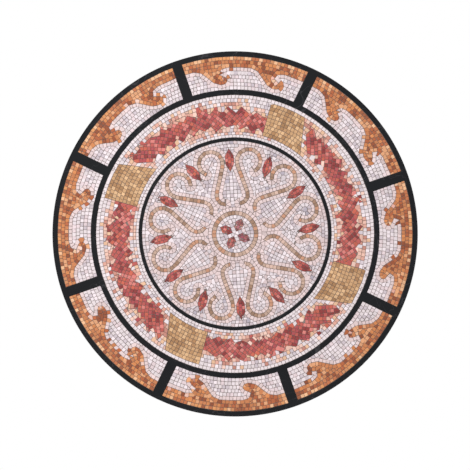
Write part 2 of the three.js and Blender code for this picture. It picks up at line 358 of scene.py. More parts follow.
def front_loops(node):
    """The outlines of a CAD plate's front face, as closed runs of flat points."""
    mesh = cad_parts[node].data
    points = np.zeros(len(mesh.vertices) * 3)
    mesh.vertices.foreach_get("co", points)
    points = points.reshape(-1, 3)
    mesh.calc_loop_triangles()
    corners = np.zeros(len(mesh.loop_triangles) * 3, int)
    mesh.loop_triangles.foreach_get("vertices", corners)
    triangles = points[corners.reshape(-1, 3)]
    front = triangles[(triangles[:, :, 1] < STONE_FRONT + LEVEL * MM).all(axis=1)]
    flat = np.round(front[:, :, [0, 2]] / MM, 2)
    sides = {(tuple(a), tuple(b)) for t in flat for a, b in ((t[0], t[1]), (t[1], t[2]), (t[2], t[0]))}
    following = {a: b for a, b in sides if (b, a) not in sides}
    loops = []
    while following:
        loop = [next(iter(following))]
        while loop[-1] in following:
            loop.append(following.pop(loop[-1]))
        loops.append(np.array(loop[:-1]))
    return loops


class Cells:
    """The cells inside a CAD plate's front face, with their places and polar places."""

    def __init__(self, node):
        loops = front_loops(node)
        points = np.concatenate(loops)
        low = np.floor(points.min(axis=0) / CELL).astype(int) - 1
        high = np.ceil(points.max(axis=0) / CELL).astype(int) + 2
        flips = np.zeros((high[1] - low[1], high[0] - low[0]), int)
        for loop in loops:
            for start, end in zip(loop, np.roll(loop, -1, axis=0)):
                if start[1] > end[1]:
                    start, end = end, start
                rows = np.arange(math.ceil(start[1] / CELL - 0.5), math.ceil(end[1] / CELL - 0.5))
                slope = (end[0] - start[0]) / max(end[1] - start[1], 1e-9)
                crossing = start[0] + ((rows + 0.5) * CELL - start[1]) * slope
                columns = np.ceil(crossing / CELL - 0.5).astype(int)
                np.add.at(flips, (rows - low[1], columns - low[0]), 1)
        self.low, self.shape = low, flips.shape
        self.row, self.column = np.nonzero(np.cumsum(flips, axis=1) % 2)
        self.x = (self.column + low[0] + 0.5) * CELL
        self.z = (self.row + low[1] + 0.5) * CELL
        self.radius = np.hypot(self.x, self.z)
        self.angle = np.degrees(np.arctan2(self.z, self.x))


def numbered(*keys):
    """One number, counted from 0, for each different combination of whole-number keys."""
    combined = np.zeros(len(keys[0]), np.int64)
    for key in keys:
        key = np.asarray(key).astype(np.int64)
        key = key - key.min()
        combined = combined * (key.max() + 1) + key
    return np.unique(combined, return_inverse=True)[1]


def ring_columns(angle, radius, shift):
    """Which stone of a full ring of equal stones lies at an angle."""
    count = np.round(2 * math.pi * radius / pitch())
    turn = angle / 360 + shift
    return np.floor((turn - np.floor(turn)) * count)


def random_per(key, seed):
    """A random number from 0 to 1 for each whole-number key."""
    key = np.asarray(key).astype(np.int64)
    return np.random.default_rng(seed).random(int(key.max() - key.min()) + 1)[key - key.min()]


def distance_to(x, z, line):
    """Distance from places to a run of straight sides, and how far along it they lie."""
    best = np.full(len(x), np.inf)
    along = np.zeros(len(x))
    run = 0
    for start, end in zip(line, line[1:]):
        side = end - start
        length = math.hypot(*side)
        t = np.clip(((x - start[0]) * side[0] + (z - start[1]) * side[1]) / length**2, 0, 1)
        distance = np.hypot(x - start[0] - t * side[0], z - start[1] - t * side[1])
        closer = distance < best
        best[closer] = distance[closer]
        along[closer] = run + t[closer] * length
        run += length
    return best, along


# Sizes of stones, as shares of a full stone.
SLIVER = 0.42  # smaller ones are joined to a neighbour
MOST_MERGED = 1.6
TOO_LARGE = 1.7
TOO_SMALL = 0.08  # left to the mortar
LEAST_FILLED = 0.8  # a stone that fills less of the outline round it is bent, and is cut in two

# A stone's corners, in millimetres and square millimetres.
MOST_CORNERS = 6
LEAST_CORNER = 0.9  # a corner that adds less to the stone is left off
LEAST_CUT_CORNER = 0.4  # the same, once the joint is taken away
LEAST_REACH = 0.4  # keeps a sharp corner from moving in too far
WEAR_MARGIN = 0.4  # room that a worn edge leaves for the wobble
CORNER_WOBBLE = 0.28


def merged(cells, stone, area):
    """Joins slivers to the neighbour that they share most of their outline with."""
    count = stone.max() + 1
    grid = np.full(cells.shape, -1, np.int64)
    grid[cells.row, cells.column] = stone
    pairs = []
    for a, b in ((grid[:, :-1], grid[:, 1:]), (grid[:-1], grid[1:])):
        touch = (a != b) & (a >= 0) & (b >= 0)
        pairs.append(np.minimum(a, b)[touch] * count + np.maximum(a, b)[touch])
    pairs, contact = np.unique(np.concatenate(pairs), return_counts=True)
    areas = np.bincount(stone, minlength=count) * CELL**2
    neighbours = {}
    for pair, length in zip(pairs.tolist(), contact.tolist()):
        a, b = divmod(pair, count)
        neighbours.setdefault(a, []).append((length, b))
        neighbours.setdefault(b, []).append((length, a))
    target = np.arange(count)
    for sliver in np.flatnonzero(areas < SLIVER * area).tolist():
        if target[sliver] != sliver:
            continue
        for _, other in sorted(neighbours.get(sliver, []), reverse=True):
            other = target[other]
            if other != sliver and areas[other] + areas[sliver] < MOST_MERGED * area:
                target[target == sliver] = other
                areas[other] += areas[sliver]
                break
    return np.unique(target[stone], return_inverse=True)[1]


def split(cells, stone, which):
    """Cuts each of the stones named in which across its long direction."""
    count = stone.max() + 1
    flagged = np.isin(stone, which)
    x, z, s = cells.x[flagged], cells.z[flagged], stone[flagged]
    n = np.maximum(np.bincount(s, minlength=count), 1)
    x = x - (np.bincount(s, x, count) / n)[s]
    z = z - (np.bincount(s, z, count) / n)[s]
    xx, zz, xz = (np.bincount(s, v, count) for v in (x * x, z * z, x * z))
    long_way = 0.5 * np.arctan2(2 * xz, xx - zz)
    far_half = x * np.cos(long_way[s]) + z * np.sin(long_way[s]) > 0
    parted = stone.copy()
    parted[np.flatnonzero(flagged)[far_half]] += count
    return np.unique(parted, return_inverse=True)[1]


def hull(points):
    """The convex outline round some points, anticlockwise: its lower and upper chains."""

    def chain(run):
        kept = []
        for p in run:
            while len(kept) > 1 and (
                (kept[-1][0] - kept[-2][0]) * (p[1] - kept[-2][1])
                - (kept[-1][1] - kept[-2][1]) * (p[0] - kept[-2][0])
            ) <= 0:
                kept.pop()
            kept.append(p)
        return kept

    points = sorted(set(points))
    return chain(points)[:-1] + chain(points[::-1])[:-1]


def area_of(outline):
    """Area inside an anticlockwise outline."""
    return 0.5 * sum(a[0] * b[1] - a[1] * b[0] for a, b in zip(outline, outline[1:] + outline[:1]))


def simplified(outline, least_corner):
    """Leaves off the corners that add least to the outline, one at a time."""
    outline = list(outline)
    while len(outline) > 3:
        after = outline[1:] + outline[:1]
        corners = [abs(area_of([outline[n - 1], outline[n], after[n]])) for n in range(len(outline))]
        least = min(range(len(corners)), key=corners.__getitem__)
        if corners[least] > least_corner and len(outline) <= MOST_CORNERS:
            break
        outline.pop(least)
    return outline


def moved_in(outline, distance):
    """Moves every side of an anticlockwise outline inwards."""
    moved = []
    for n, point in enumerate(outline):
        before, after = outline[n - 1], outline[(n + 1) % len(outline)]
        ax, az = point[0] - before[0], point[1] - before[1]
        bx, bz = after[0] - point[0], after[1] - point[1]
        a, b = math.hypot(ax, az), math.hypot(bx, bz)
        nx, nz = -az / a - bz / b, ax / a + bx / b
        reach = max(1 + (ax * bx + az * bz) / (a * b), LEAST_REACH)
        moved.append((point[0] + distance * nx / reach, point[1] + distance * nz / reach))
    return moved


def wearable(outline, reach):
    """Joins the ends of the sides that are too short for a worn edge of the given reach.
    Gives None for a stone that is too thin for one."""
    outline = list(outline)
    while True:
        inner = moved_in(outline, reach)
        short = []
        for n, start in enumerate(outline):
            end, after = outline[n - 1], inner[n - 1]
            side = (end[0] - start[0], end[1] - start[1])
            if side[0] * (after[0] - inner[n][0]) + side[1] * (after[1] - inner[n][1]) <= 0:
                short.append((math.hypot(*side), n))
        if not short:
            return outline
        if len(outline) == 3:
            return None
        n = min(short)[1]
        start, end = outline[n], outline[n - 1]
        outline[n] = ((start[0] + end[0]) / 2, (start[1] + end[1]) / 2)
        outline.pop(n - 1)


def outlines_of(cells, stone):
    """The outline round each stone's cells, with its share of cells to outline area."""
    order = np.lexsort((cells.row, stone))
    s, row, column = stone[order], cells.row[order], cells.column[order]
    start = np.flatnonzero(np.r_[True, (s[1:] != s[:-1]) | (row[1:] != row[:-1])])
    left = np.minimum.reduceat(column, start)
    right = np.maximum.reduceat(column, start)
    row, s = row[start], s[start]
    breaks = np.flatnonzero(np.r_[True, s[1:] != s[:-1], True])
    found = []
    areas = np.bincount(stone)
    for n in range(len(breaks) - 1):
        span = slice(breaks[n], breaks[n + 1])
        rows = row[span].tolist()
        outline = hull([*zip(left[span].tolist(), rows), *zip(right[span].tolist(), rows)])
        # The hull runs through the outermost cells' middles: half a cell more on each side.
        length = sum(math.dist(a, b) for a, b in zip(outline, outline[1:] + outline[:1]))
        found.append((outline, areas[n] / (area_of(outline) + 0.5 * length + 1)))
    return found


def cut_stones(node, rng, rows, *settings, share=1):
    """Cuts a CAD plate's field into the flat outlines of hand-cut stones, in millimetres.
    rows is the function that numbers its cells, and share the size of a stone here, as a
    share of a full one."""
    cells = Cells(node)
    area = share * pitch() ** 2
    stone = merged(cells, rows(cells, *settings), area)
    for _ in range(2):
        large = np.bincount(stone) * CELL**2 > TOO_LARGE * area
        stone = split(cells, stone, np.flatnonzero(large))
    for _ in range(2):
        bent = [filled < LEAST_FILLED for _, filled in outlines_of(cells, stone)]
        stone = split(cells, stone, np.flatnonzero(bent))
    joint, arris = sizes().joint / MM, sizes().arris / MM
    cut = []
    for outline, _ in outlines_of(cells, stone):
        if len(outline) < 3:
            continue
        outline = [((x + cells.low[0] + 0.5) * CELL, (z + cells.low[1] + 0.5) * CELL) for x, z in outline]
        outline = simplified(outline, LEAST_CORNER)
        inner = simplified(hull(moved_in(outline, joint / 2 - CELL / 2)), LEAST_CUT_CORNER)
        if area_of(inner) > area_of(outline):
            continue
        inner = wearable(inner, arris + WEAR_MARGIN)
        if inner is None or area_of(inner) < TOO_SMALL * area:
            continue
        wobble = rng.uniform(-CORNER_WOBBLE, CORNER_WOBBLE, (len(inner), 2))
        cut.append([(x + wx, z + wz) for (x, z), (wx, wz) in zip(inner, wobble)])
    return cut


# ---- Rows of stones in each field ----
#
# Each function whose name ends in rows gives every cell the number of its stone.


def wander(cells, reach, seed):
    """How far the rows of stones stray from their line, in millimetres or degrees."""
    return reach * smooth_noise(cells.x, cells.z, WANDER_LENGTH, seed)


def ring_places(cells, limits, seed):
    """Which ring between the given radii a cell is in, and which of the ring's equal stones.
    Each ring has its own start."""
    limits = np.array(limits)
    row = np.searchsorted(limits, cells.radius + wander(cells, 0.35, seed)) - 1
    row = np.clip(row, 0, len(limits) - 2)
    middle = (limits[row] + limits[row + 1]) / 2
    angle = cells.angle + wander(cells, 0.25, seed + 1)
    return row, ring_columns(angle, middle, random_per(row, seed + 2))


def wave_line(k):
    """The line between wave and ground in panel k: the stretch of the wave's own outline
    that lies inside the strip."""
    loop = max(front_loops(f"wave_scroll_{k}"), key=len)
    foot = STRIP_RADIUS + 0.6  # the ends of the line reach a little way into the strip
    low = np.hypot(*loop.T) < foot
    first = np.flatnonzero(low & ~np.roll(low, 1))[0]
    loop, low = np.roll(loop, -first, axis=0), np.roll(low, -first)
    return loop[: np.argmin(low)]


def wave_rows(cells, k, ring_limits):
    """One row of stones along the wave's edge, and rings elsewhere."""
    distance, length = distance_to(cells.x, cells.z, wave_line(k))
    along = np.floor(length / pitch() + np.random.default_rng(SEED + k).random())
    row, column = ring_places(cells, ring_limits, SEED + 20 * k)
    beside = distance < pitch()
    return numbered(beside, np.where(beside, 0, row), np.where(beside, along, column))


def block_angle(k):
    """Angle of the end of block k, where garland k starts."""
    return BLOCK_ANGLE - 360 / BLOCK_COUNT * (k - 1)


def garland_rows(cells, k):
    """Rows that slant across the garland, as its leaves do."""
    turned = (block_angle(k) - cells.angle) % 360
    along = np.radians(turned) * GARLAND_RADIUS + wander(cells, 1.5, SEED + k)
    out = cells.radius - GARLAND_RADIUS
    step = math.sqrt(2) * pitch()
    row = np.floor((along + out) / step)
    return numbered(row, np.floor((along - out) / step + random_per(row, SEED + 30 + k)))


def block_rows(cells, k):
    """Nine rings of stones across a block, in files that run out along its middle."""
    turn = math.radians(block_angle(k) - BLOCK_TURN)
    across = cells.z * math.cos(turn) - cells.x * math.sin(turn) + wander(cells, 0.6, SEED + 40 + k)
    row = np.clip(np.searchsorted(BLOCK_RINGS, cells.radius), 1, len(BLOCK_RINGS) - 1)
    return numbered(row, np.floor(across / pitch() + random_per(row, SEED + 50 + k)))


def garland_ground_rows(cells):
    """Rings of stones across the garland band."""
    return numbered(*ring_places(cells, BAND_RINGS, SEED + 161))


def point_at(radius, angle, middle=(0, 0)):
    """A point at a distance and angle from a middle."""
    turn = math.radians(angle)
    return np.array([middle[0] + radius * math.cos(turn), middle[1] + radius * math.sin(turn)])


def polar(x, y, centre):
    """Distance and angle in degrees from a centre."""
    dx, dy = x - centre[0], y - centre[1]
    return np.hypot(dx, dy), np.degrees(np.arctan2(dy, dx))


def strand_run():
    """Direction in degrees of a strand's straight run, which touches both its arcs."""
    across = np.subtract(LOBE["centre"], FLARE["centre"])
    spread = math.asin((FLARE["radius"] + LOBE["radius"]) / math.hypot(*across))
    return math.degrees(math.atan2(across[1], across[0]) - spread)


class Heart:
    """Where places lie on a strand of the nearest heart: which heart and half, distance
    from the strand's middle line, side (1 is the heart's inside, -1 outside, 0 past an
    end) and how far along a row that runs a given distance from the strand."""

    def __init__(self, x, z):
        span = 360 / HEART_COUNT
        self.radius = np.hypot(x, z)
        turned = np.degrees(np.arctan2(z, x)) - HEART_ANGLE + span / 2
        self.heart = np.floor(turned / span) % HEART_COUNT
        self.off_axis = turned % span - span / 2
        self.half = self.off_axis > 0
        turn = np.radians(np.abs(self.off_axis))
        x, y = self.radius * np.sin(turn), self.radius * np.cos(turn)

        run = strand_run()
        self.flare_turn = FLARE["end"] - (run + 90)
        start = point_at(FLARE["radius"], run + 90, FLARE["centre"])
        end = point_at(LOBE["radius"], run - 90, LOBE["centre"])
        self.straight = math.dist(start, end)
        step = (end - start) / self.straight
        dx, dy = x - start[0], y - start[1]
        t, left = dx * step[0] + dy * step[1], dy * step[0] - dx * step[1]
        from_flare, flare_angle = polar(x, y, FLARE["centre"])
        from_lobe, lobe_angle = polar(x, y, LOBE["centre"])
        flare_angle, lobe_angle = flare_angle % 360, (lobe_angle - (run - 90)) % 360
        from_first, first_angle = polar(x, y, point_at(FLARE["radius"], FLARE["end"], FLARE["centre"]))
        from_last, last_angle = polar(x, y, point_at(LOBE["radius"], LOBE["end"], LOBE["centre"]))

        on_flare = (flare_angle >= run + 90) & (flare_angle <= FLARE["end"])
        on_run = (t >= 0) & (t <= self.straight)
        on_lobe = lobe_angle <= LOBE["end"] - (run - 90)
        outside, inside = from_flare - FLARE["radius"], LOBE["radius"] - from_lobe
        choices = [
            np.where(on_flare, np.abs(outside), np.inf),
            np.where(on_run, np.abs(left), np.inf),
            np.where(on_lobe, np.abs(inside), np.inf),
            from_first,
            from_last,
        ]
        self.part = np.argmin(choices, axis=0)
        self.distance = np.min(choices, axis=0)
        self.side = np.choose(self.part, [np.sign(outside), np.sign(left), np.sign(inside), 0, 0])
        self.places = [FLARE["end"] - flare_angle, t, lobe_angle, first_angle, last_angle]

    def along(self, offset):
        """Length along the row that lies offset from the middle line, on each side."""
        flare = np.radians(1) * (FLARE["radius"] + self.side * offset)
        lobe = np.radians(1) * (LOBE["radius"] - self.side * offset)
        past_flare = self.flare_turn * flare
        lengths = [
            self.places[0] * flare,
            past_flare + self.places[1],
            past_flare + self.straight + self.places[2] * lobe,
            self.places[3] * np.radians(1) * offset,
            self.places[4] * np.radians(1) * offset,
        ]
        return np.choose(self.part, lengths)


def strand_rows(cells):
    """One row of stones along a strand."""
    return numbered(np.floor(Heart(cells.x, cells.z).along(0) / pitch() + 0.5))


RIM_ROWS = (237, 246)  # two rows of stones follow the black ring round the rosette


def medallion_rows(cells):
    """White stones of the rosette: rings along the black ring and the eye, rows along
    the strands and inside the hearts, and straight rows between the hearts."""
    step = pitch()
    place = Heart(cells.x, cells.z)
    from_strand = place.distance - STRAND_WIDTH / 2
    beside = np.floor(np.maximum(from_strand + wander(cells, 0.4, SEED + 50), 0) / step)
    offset = STRAND_WIDTH / 2 + (beside + 0.5) * step
    row_key = numbered(place.heart, place.half, place.side, beside)
    along = np.floor(place.along(offset) / step + random_per(row_key, SEED + 51))

    from_gap = np.radians(180 / HEART_COUNT - np.abs(place.off_axis))
    gap = np.where(place.half, place.heart, place.heart - 1) % HEART_COUNT
    across = place.radius * np.sin(from_gap) * np.where(place.half, 1, -1)
    file = np.floor((across + wander(cells, 0.7, SEED + 52)) / step + 0.5)
    row = np.floor((place.radius * np.cos(from_gap) + wander(cells, 0.7, SEED + 53)) / step)

    limits = (0, EYE_RING[1] + step, *RIM_ROWS, INNER_RING[0])
    ring, ring_column = ring_places(cells, limits, SEED + 54)
    inside = (place.side > 0) | (place.part == 4)
    zone = np.select([ring == 3, ring == 0, beside == 0, ring == 2, inside], [0, 1, 2, 3, 4], 5)
    # A stone lies in a ring, between two hearts, or else in a row along a strand.
    ways = [np.isin(zone, (0, 1, 3)), zone == 5]
    return numbered(
        zone,
        np.select(ways, [0, gap], row_key),
        np.select(ways, [0, row], along),
        np.select(ways, [ring_column, file], 0),
    )


def bud_rows(cells, radius, angle, tilt, width):
    """Three files of stones along a bud or petal."""
    middle = point_at(radius, angle)
    turn = math.radians(angle + tilt)
    dx, dz = cells.x - middle[0], cells.z - middle[1]
    out = dx * math.cos(turn) + dz * math.sin(turn)
    across = dz * math.cos(turn) - dx * math.sin(turn)
    file = np.floor(across / width + 0.5)
    return numbered(file, np.floor(out / pitch() + 0.5 * (file % 2)))


def eye_ring_rows(cells):
    """One ring of stones."""
    return numbered(ring_columns(cells.angle, sum(EYE_RING) / 2, 0))


def eye_ground_rows(cells):
    """A ring of stones inside the eye's ring, and files along the cross of the petals."""
    step = pitch()
    turned = cells.angle - PETAL_ANGLE
    arm = np.radians(turned % 90 - 45)
    file = np.floor((cells.radius * np.sin(arm) + step / 2) / step)
    row = np.floor(cells.radius * np.cos(arm) / step)
    rim = cells.radius > EYE_RING[0] - step
    column = ring_columns(cells.angle, EYE_RING[0] - step / 2, 0.3)
    first = np.where(rim, column, np.floor(turned / 90))
    return numbered(rim, first, np.where(rim, 0, file), np.where(rim, 0, row))


# ---- Colours of single stones ----

# Shades of each stone from dark to light, as shares of its own colour, with how common
# each is.
SHADES = {
    "white": (((0.8, 0.78, 0.82), 2), ((1, 0.93, 0.94), 2), ((1, 1, 1), 5), ((1.1, 1.1, 1.12), 4)),
    "rosette": (
        ((0.62, 0.62, 0.69), 0.3), ((0.78, 0.75, 0.79), 1.7), ((0.91, 0.83, 0.82), 2),
        ((0.93, 0.93, 0.95), 4.5), ((1.11, 1.11, 1.13), 4),
    ),
    "orange": (
        ((0.52, 0.36, 0.32), 2), ((0.8, 0.58, 0.5), 2.5), ((1, 1, 1), 4), ((1.15, 1.15, 1), 2),
        ((1.35, 1.8, 2.4), 2.5),
    ),
    "ochre": (((0.7, 0.62, 0.54), 2.5), ((0.9, 0.85, 0.8), 2), ((1, 1, 1), 4), ((1.25, 1.32, 1.4), 2.5)),
    "tan": (((0.66, 0.57, 0.48), 2.5), ((1.05, 0.78, 0.62), 2), ((1, 1, 1), 4), ((1.3, 1.32, 1.4), 2)),
    "red": (
        ((0.55, 0.36, 0.42), 2.5), ((0.85, 0.72, 0.95), 2), ((1, 1, 1), 4.5), ((1.15, 1.2, 0.9), 1.5),
        ((1.4, 2.1, 2.2), 2),
    ),
    "peach": (
        ((0.7, 0.5, 0.48), 2), ((0.95, 0.8, 0.78), 2.5), ((1, 1, 0.8), 1.5), ((1, 1, 1), 3),
        ((1.1, 1.2, 1.25), 2),
    ),
}
PATCH_LENGTH = 60  # shades gather in patches of about this size
PATCH_SHARE = {"orange": 0.35, "ochre": 0.25, "red": 0.3, "tan": 0.6}  # how strongly they gather
TONE_SPREAD = 0.05  # each stone a little lighter or darker


def toned(kind, cut, rng):
    """A colour for each stone: one of the kind's shades, in loose patches."""
    x, z = middles(cut).T
    patch = smooth_noise(x, z, PATCH_LENGTH, int(rng.integers(1000)))
    place = rng.random(len(cut)) + PATCH_SHARE.get(kind, 0.1) * patch
    share = np.argsort(np.argsort(place)) / len(cut)
    limits = np.cumsum([weight for _, weight in SHADES[kind]])
    pick = np.searchsorted(limits / limits[-1], share, side="right")
    shades = np.array([shade for shade, _ in SHADES[kind]])
    base = "white" if kind == "rosette" else kind
    own = rng.normal(1, TONE_SPREAD, (len(cut), 1))
    return np.array(getattr(colours(), base)) * shades[pick] * own


def middles(cut):
    """The middle of each stone."""
    return np.array([np.mean(outline, axis=0) for outline in cut])


def chosen(which, yes, no):
    """The colours yes for the stones in which, and no for the others."""
    return np.where(which[:, None], yes, no)


# ---- Making the stones ----


def deselect_all():
    if bpy.context.object and bpy.context.object.mode != "OBJECT":
        bpy.ops.object.mode_set(mode="OBJECT")
    bpy.ops.object.select_all(action="DESELECT")


def edit_faces():
    """Goes into edit mode with every face of the piece selected."""
    bpy.ops.object.mode_set(mode="EDIT")
    bpy.ops.mesh.select_mode(type="FACE")
    bpy.ops.mesh.select_all(action="SELECT")


def end_edit():
    """Turns every face outwards and leaves edit mode."""
    bpy.ops.mesh.select_all(action="SELECT")
    bpy.ops.mesh.normals_make_consistent(inside=False)
    bpy.ops.object.mode_set(mode="OBJECT")


def extrude(distance):
    """Raises the selected faces along Y."""
    bpy.ops.mesh.extrude_region_move(TRANSFORM_OT_translate={"value": (0, distance, 0)})


def new_object(name, points, faces):
    mesh = bpy.data.meshes.new(name)
    mesh.from_pydata([tuple(p) for p in points], [], faces)
    piece = bpy.data.objects.new(name, mesh)
    bpy.context.scene.collection.objects.link(piece)
    deselect_all()
    piece.select_set(True)
    bpy.context.view_layer.objects.active = piece
    return piece


def finished(piece, material, slot, *nodes):
    """Gives a piece its material and its place in the frame."""
    piece.data.materials.append(material)
    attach(piece, "root")
    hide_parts(*nodes)
    return piece


def first_of_island(mesh):
    """For each corner point, the first point of the stone that it belongs to."""
    edges = np.zeros(len(mesh.edges) * 2, int)
    mesh.edges.foreach_get("vertices", edges)
    a, b = edges.reshape(-1, 2).T
    first = np.arange(len(mesh.vertices))
    while True:
        least = np.minimum(first[a], first[b])
        before = first.copy()
        np.minimum.at(first, a, least)
        np.minimum.at(first, b, least)
        if (first == before).all():
            return first


STONE_TILT = 0.018  # radians
LEAST_SINK = 0.3  # share of the unevenness


def lay(kind, node, cut, tone, rng, name=None):
    """Raises flat outlines to blocks with worn edges, each a little sunk and tilted."""
    ends = np.cumsum([len(outline) for outline in cut])
    flat = np.concatenate(cut) * MM
    points = np.column_stack([flat[:, 0], np.full(len(flat), STONE_BACK), flat[:, 1]])
    faces = [list(range(end - len(outline), end)) for end, outline in zip(ends, cut)]
    piece = new_object(name or f"{node}_stones", points, faces)
    arris = sizes().arris
    edit_faces()
    extrude(STONE_FRONT - STONE_BACK + arris / 2)
    bpy.ops.mesh.inset(thickness=arris, depth=arris / 2, use_individual=True, use_even_offset=False)
    end_edit()

    mesh = piece.data
    place = np.zeros(len(mesh.vertices) * 3)
    mesh.vertices.foreach_get("co", place)
    place = place.reshape(-1, 3)
    stone = np.searchsorted(ends, first_of_island(mesh), side="right")
    middle = middles(cut)[stone] * MM
    front = place[:, 1] < (STONE_FRONT + STONE_BACK) / 2
    tilt = rng.normal(0, STONE_TILT, (len(cut), 2))[stone]
    sink = (rng.uniform(LEAST_SINK, 1, len(cut)) * sizes().unevenness)[stone]
    lean = tilt[:, 0] * (place[:, 0] - middle[:, 0]) + tilt[:, 1] * (place[:, 2] - middle[:, 1])
    sunk = np.maximum(place[:, 1] + sink + lean, STONE_FRONT)
    face = place[:, 1] < STONE_FRONT + arris / 4
    place[:, 1] = np.where(front, sunk, place[:, 1])
    mesh.vertices.foreach_set("co", place.ravel())

    shade = np.column_stack([np.clip(tone, 0, 1)[stone], np.ones(len(stone))])
    mesh.attributes.new("stone_colour", "FLOAT_COLOR", "POINT").data.foreach_set("color", shade.ravel())
    own = rng.uniform(0, 100, len(cut))[stone]
    mesh.attributes.new("stone_seed", "FLOAT", "POINT").data.foreach_set("value", own)
    mesh.attributes.new("stone_edge", "FLOAT", "POINT").data.foreach_set("value", 1.0 - face)
    mesh.update()
    *looks, slot = STONE_KINDS[kind]
    return finished(piece, cut_stone(*looks), slot, node)


# ---- Pieces ----

OUTER_ROW_TINT = (1.15, 1.35, 1.5)  # paler stones were kept for the row along the edge
SIDE_ROW_TINT = (1, 0.9, 0.87)  # and even, warm white ones for the rows along the figures


def side_row(cut, rng):
    """Colours of the white stones in a row along a figure."""
    return np.array(colours().white) * SIDE_ROW_TINT * rng.normal(1, 0.06, (len(cut), 1))


# Single stones of the other side's colour make a wave's edge ragged, most of all at its
# crests. Their shares of the stones along the edge are for the crests and the troughs.
CREST_RADII = (430, 452)
ORANGE_STRAYS = (0.15, 0.06)
PALE_STRAYS = (0.06, 0.04)


def strays(cut, line, shares, rng):
    """Which stones beside a wave's edge have the colour of its other side."""
    x, z = middles(cut).T
    beside = distance_to(x, z, line)[0] < pitch()
    return beside & (rng.random(len(cut)) < np.interp(np.hypot(x, z), CREST_RADII, shares))


def wave_stones(k):
    """One wave of orange stones, and the white stones under it."""
    rng = np.random.default_rng(SEED + 100 + k)
    line = wave_line(k)
    low, high = WAVE_RADII
    rings = np.arange(STRIP_RADIUS, low - pitch(), -pitch())[::-1]
    limits = (*rings, *np.linspace(STRIP_RADIUS, high, STRIP_ROWS + 1)[1:])
    cut = cut_stones(f"wave_scroll_{k}", rng, wave_rows, k, limits)
    tone = toned("orange", cut, rng)
    tone[np.hypot(*middles(cut).T) > high - pitch()] *= OUTER_ROW_TINT
    stray = strays(cut, line, PALE_STRAYS, rng)
    tone = chosen(stray, toned("peach", cut, rng), tone)
    lay("orange", f"wave_scroll_{k}", cut, tone, rng, name=f"wave_{k}_stones")

    cut = cut_stones(f"wave_ground_{k}", rng, wave_rows, k, np.arange(low, high, pitch()))
    beside = distance_to(*middles(cut).T, line)[0] < pitch()
    tone = chosen(beside, side_row(cut, rng), toned("white", cut, rng))
    stray = strays(cut, line, ORANGE_STRAYS, rng)
    tone = chosen(stray, toned("orange", cut, rng), tone)
    lay("white", f"wave_ground_{k}", cut, tone, rng)


def block_stones(k):
    """One block of ochre stones, between two garlands."""
    rng = np.random.default_rng(SEED + 120 + k)
    cut = cut_stones(f"ochre_block_{k}", rng, block_rows, k)
    lay("ochre", f"ochre_block_{k}", cut, toned("ochre", cut, rng), rng, name=f"block_{k}_stones")


def garland_edge(k):
    """The closed outline of a garland, with its first point again at the end."""
    loop = front_loops(f"laurel_garland_{k}")[0]
    return np.vstack([loop, loop[:1]])


def garland_stones(k):
    """Red stones, with some pink and peach ones among those at the leaves' edges."""
    rng = np.random.default_rng(SEED + 140 + k)
    cut = cut_stones(f"laurel_garland_{k}", rng, garland_rows, k)
    depth = distance_to(*middles(cut).T, garland_edge(k))[0]
    pale = rng.random(len(cut)) < np.interp(depth, (3, 8), (0.14, 0))
    tone = chosen(pale, toned("peach", cut, rng), toned("red", cut, rng))
    lay("red", f"laurel_garland_{k}", cut, tone, rng, name=f"garland_{k}_stones")


def garland_ground_stones():
    """White stones of the garland band, with peach, pink and a few red ones at the leaf
    tips. Only pale ones lie along the black rings."""
    rng = np.random.default_rng(SEED + 160)
    cut = cut_stones("garland_ground", rng, garland_ground_rows)
    middle = middles(cut)
    edges = [garland_edge(k) for k in range(1, BLOCK_COUNT + 1)]
    near = np.min([distance_to(*middle.T, edge)[0] for edge in edges], axis=0)
    radius = np.hypot(*middle.T)
    near = near * np.where(radius < GARLAND_RADIUS, 1.25, 1)  # the tips reach further on the outside
    chance = rng.random(len(cut))
    tip = chance < np.interp(near, (0, 12, 24, 36), (0.95, 0.6, 0.12, 0))
    stray = chance < np.interp(near, (3, 10), (0.25, 0))
    tone = chosen(tip, toned("peach", cut, rng), toned("white", cut, rng))
    tone = chosen(stray, toned("red", cut, rng), tone)
    along_ring = (radius < BAND_RINGS[1]) | (radius > BAND_RINGS[-2])
    pale = np.array(colours().white) * rng.uniform(0.98, 1.12, (len(cut), 1))
    lay("white", "garland_ground", cut, chosen(along_ring, pale, tone), rng)


def heart_stones(k):
    """The two strands of a heart, its bud, and the bud between it and the next heart."""
    rng = np.random.default_rng(SEED + 180 + k)
    axis = HEART_ANGLE + 360 / HEART_COUNT * (k - 1)
    for side in ("right", "left"):
        node = f"heart_{k}_strand_{side}"
        cut = cut_stones(node, rng, strand_rows)
        lay("tan", node, cut, toned("tan", cut, rng), rng)
    bud_stones(f"heart_bud_{k}", (BUD_RADIUS, axis, HEART_BUD_TILT, BUD_FILE), BUD_STONE, rng)
    gap_axis = axis + 180 / HEART_COUNT
    bud_stones(f"gap_bud_{k}", (BUD_RADIUS, gap_axis, 0, BUD_FILE), BUD_STONE, rng)


def bud_stones(node, place, share, rng, tint=1):
    """Red stones in files along a bud or petal, darker towards both ends."""
    cut = cut_stones(node, rng, bud_rows, *place, share=share)
    middle = middles(cut)
    off = np.hypot(*(middle - middle.mean(axis=0)).T)
    dim = np.interp(off / off.max(), (0.3, 1), (1.05, 0.66))
    lay("red", node, cut, toned("red", cut, rng) * dim[:, None] * tint, rng)


